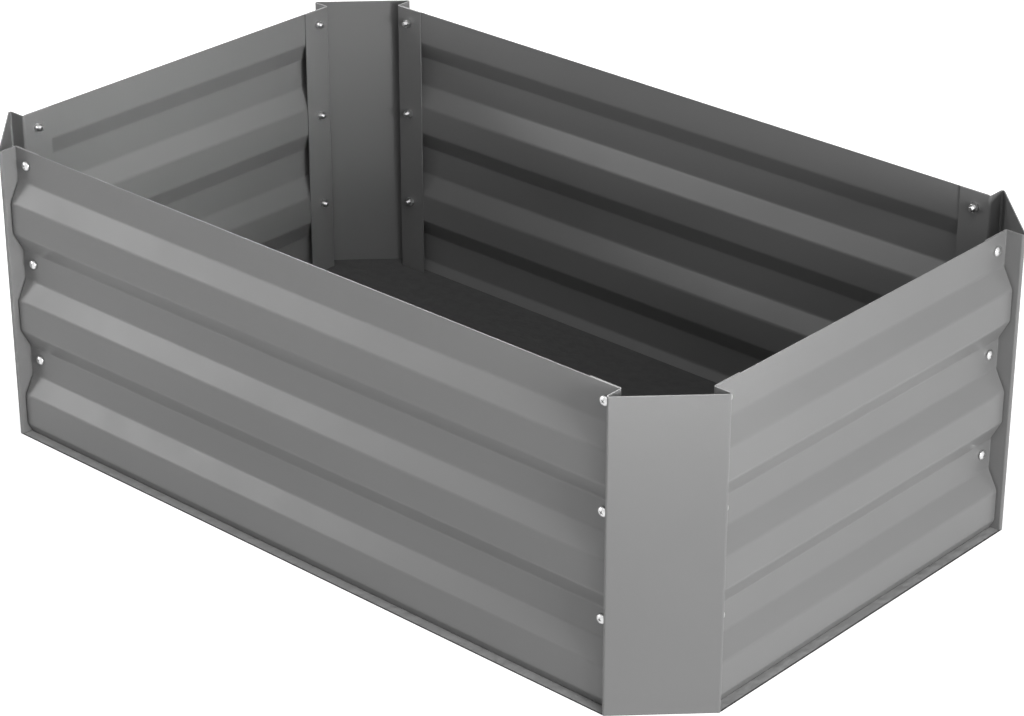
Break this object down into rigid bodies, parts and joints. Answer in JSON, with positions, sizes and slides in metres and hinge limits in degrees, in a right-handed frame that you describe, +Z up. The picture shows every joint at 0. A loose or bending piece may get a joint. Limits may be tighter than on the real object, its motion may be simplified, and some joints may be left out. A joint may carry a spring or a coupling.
{
  "type": "raised garden bed",
  "caption": "Open rectangular raised garden bed of ribbed sheet-metal panels screwed to bent corner posts with flat chamfered faces.",
  "frame": {"origin": "on the ground at the middle of the bed's footprint", "axes": "+X along the bed's length, +Y from the front panel to the back one, +Z up"},
  "size_m": [0.8918, 0.5558, 0.3],
  "materials": {
    "powder_coat": "satin grey powder coat on galvanised sheet",
    "zinc": "bright zinc plate"
  },
  "bodies": {
    "root": {"panel_front": "powder_coat", "panel_right": "powder_coat", "panel_back": "powder_coat", "panel_left": "powder_coat", "post_front_left": "powder_coat", "post_front_right": "powder_coat", "post_back_right": "powder_coat", "post_back_left": "powder_coat", "screw_front_left_1": "zinc", "screw_front_left_2": "zinc", "screw_front_left_3": "zinc", "screw_front_right_1": "zinc", "screw_front_right_2": "zinc", "screw_front_right_3": "zinc", "screw_right_front_1": "zinc", "screw_right_front_2": "zinc", "screw_right_front_3": "zinc", "screw_right_back_1": "zinc", "screw_right_back_2": "zinc", "screw_right_back_3": "zinc", "screw_back_right_1": "zinc", "screw_back_right_2": "zinc", "screw_back_right_3": "zinc", "screw_back_left_1": "zinc", "screw_back_left_2": "zinc", "screw_back_left_3": "zinc", "screw_left_back_1": "zinc", "screw_left_back_2": "zinc", "screw_left_back_3": "zinc", "screw_left_front_1": "zinc", "screw_left_front_2": "zinc", "screw_left_front_3": "zinc", "nut_front_left_1": "zinc", "nut_front_left_2": "zinc", "nut_front_left_3": "zinc", "nut_front_right_1": "zinc", "nut_front_right_2": "zinc", "nut_front_right_3": "zinc", "nut_right_front_1": "zinc", "nut_right_front_2": "zinc", "nut_right_front_3": "zinc", "nut_right_back_1": "zinc", "nut_right_back_2": "zinc", "nut_right_back_3": "zinc", "nut_back_right_1": "zinc", "nut_back_right_2": "zinc", "nut_back_right_3": "zinc", "nut_back_left_1": "zinc", "nut_back_left_2": "zinc", "nut_back_left_3": "zinc", "nut_left_back_1": "zinc", "nut_left_back_2": "zinc", "nut_left_back_3": "zinc", "nut_left_front_1": "zinc", "nut_left_front_2": "zinc", "nut_left_front_3": "zinc"}
  },
  "joints": []
}
